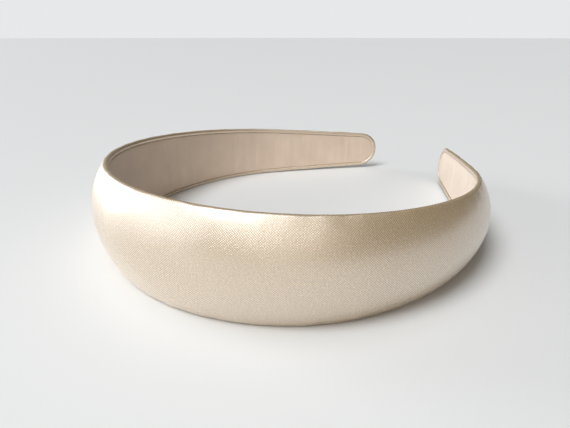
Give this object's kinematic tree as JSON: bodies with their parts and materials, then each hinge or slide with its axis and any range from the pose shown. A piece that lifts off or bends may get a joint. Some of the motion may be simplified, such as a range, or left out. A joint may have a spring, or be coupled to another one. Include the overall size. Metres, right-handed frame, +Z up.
{
  "type": "padded headband",
  "caption": "Satin-covered padded hair band, wide and domed over the crown, tapering to slim round tips, with a lined inside framed by turned-in rolled edges.",
  "frame": {"origin": "centre of the outline on the surface that the band lies on", "axes": "+Z up from that surface, the crown towards -Y, the open end towards +Y, +X across the arms"},
  "size_m": [0.1392, 0.1612, 0.0321],
  "materials": {
    "cover_satin": "champagne satin, soft sheen",
    "lining_satin": "champagne satin, matte side"
  },
  "bodies": {
    "root": {"padded_cover": "cover_satin", "inner_lining": "lining_satin"}
  },
  "joints": []
}
